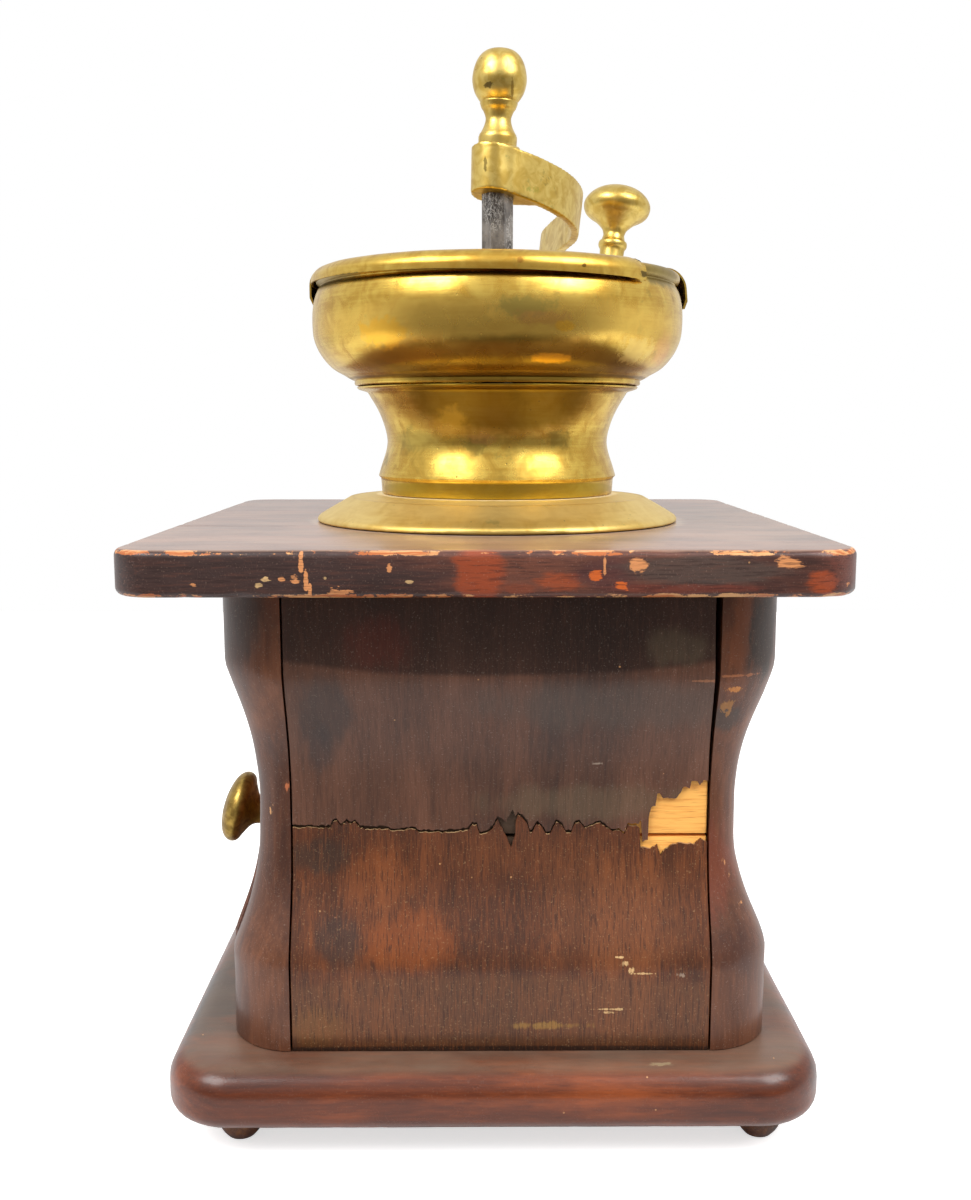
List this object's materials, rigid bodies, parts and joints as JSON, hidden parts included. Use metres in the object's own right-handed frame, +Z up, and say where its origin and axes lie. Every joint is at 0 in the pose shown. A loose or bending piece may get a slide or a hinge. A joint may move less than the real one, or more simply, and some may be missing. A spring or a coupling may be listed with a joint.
{
  "type": "manual coffee grinder",
  "caption": "Box coffee mill with a waisted wooden case, side drawer, brass hopper with a turning half lid, S-shaped crank and adjustable cone burr.",
  "frame": {"origin": "on the table under the middle of the mill's outline, crank included", "axes": "+X to the right of the front, +Y to the back, +Z up along the grinding shaft; the drawer opens towards -X"},
  "size_m": [0.2, 0.2298, 0.3293],
  "materials": {
    "aged_brass": "polished long ago, now tarnished with greenish brown patches, pits and fine scratches",
    "dark_iron": "dark, scratched bright along the edges",
    "steel": "dull, a little rusty",
    "walnut_veneer": "dark reddish brown veneer with upright grain, worn satin varnish",
    "stained_boards": "dark red-brown stain and varnish, chipped along the edges to orange wood",
    "stained_posts": "dark red-brown stain, satin, small chips",
    "bare_pine": "bare softwood, orange-yellow with age",
    "foot_wood": "nearly black stained turned wood"
  },
  "bodies": {
    "mill": {"back_board_lower": "bare_pine", "back_board_upper": "bare_pine", "back_veneer": "walnut_veneer", "bar_screw_left": "steel", "bar_screw_right": "steel", "base_board": "stained_boards", "bearing_bridge": "dark_iron", "bridge_screw_left": "steel", "bridge_screw_right": "steel", "burr_housing": "dark_iron", "case_screw_back_left": "steel", "case_screw_back_right": "steel", "case_screw_front_left": "steel", "case_screw_front_right": "steel", "corner_post_back_left": "stained_posts", "corner_post_back_right": "stained_posts", "corner_post_front_left": "stained_posts", "corner_post_front_right": "stained_posts", "drawer_lintel": "stained_boards", "drawer_runner_back": "bare_pine", "drawer_runner_front": "bare_pine", "foot_back_left": "foot_wood", "foot_back_right": "foot_wood", "foot_front_left": "foot_wood", "foot_front_right": "foot_wood", "front_board_lower": "bare_pine", "front_board_upper": "bare_pine", "front_veneer_lower": "walnut_veneer", "front_veneer_upper": "walnut_veneer", "hopper_bowl": "aged_brass", "hopper_neck": "aged_brass", "hopper_skirt": "aged_brass", "housing_screw_1": "steel", "housing_screw_2": "steel", "housing_screw_3": "steel", "lid_fixed_half": "aged_brass", "lock_nut": "steel", "lower_bearing_bar": "dark_iron", "right_board_lower": "bare_pine", "right_board_upper": "bare_pine", "right_veneer": "walnut_veneer", "ring_burr": "dark_iron", "top_board": "stained_boards"},
    "shaft": {"main_shaft": "dark_iron", "cone_burr": "dark_iron", "cone_burr_pin": "steel", "crank_arm": "aged_brass", "grip_pin": "steel", "finial_nut": "aged_brass"},
    "grip": {"grip_knob": "aged_brass"},
    "lid": {"lid_turning_half": "aged_brass"},
    "thrust": {"thrust_pin": "steel"},
    "adjuster": {"adjusting_screw": "steel"},
    "drawer": {"drawer_front": "stained_boards", "drawer_floor": "bare_pine", "drawer_side_front": "bare_pine", "drawer_side_back": "bare_pine", "drawer_end": "bare_pine", "drawer_knob": "aged_brass", "drawer_knob_screw": "steel"}
  },
  "joints": [
    {"name": "shaft_lift", "type": "slide", "parent": "mill", "child": "thrust", "axis": [0, 0, 1], "range_m": [0, 0.001]},
    {"name": "adjuster_turn", "type": "hinge", "parent": "thrust", "child": "adjuster", "pos_m": [0.0044, -0.01492, 0.113], "axis": [0, 0, 1], "range_deg": [0, 290]},
    {"name": "crank_turn", "type": "hinge", "parent": "thrust", "child": "shaft", "pos_m": [0.0044, -0.01492, 0.1774], "axis": [0, 0, -1], "continuous": true},
    {"name": "grip_spin", "type": "hinge", "parent": "shaft", "child": "grip", "pos_m": [0.0536, 0.09715, 0.27445], "axis": [0.1168, 0.1532, 0.9813], "continuous": true},
    {"name": "lid_turn", "type": "hinge", "parent": "mill", "child": "lid", "pos_m": [0.0044, -0.01492, 0.2584], "axis": [0, 0, 1], "range_deg": [-132, 43]},
    {"name": "drawer_slide", "type": "slide", "parent": "mill", "child": "drawer", "axis": [-1, 0, 0], "range_m": [0, 0.105]}
  ],
  "couplings": [
    {"joint": "adjuster_turn", "follows": "shaft_lift", "rad_per_m": 5026.5}
  ]
}
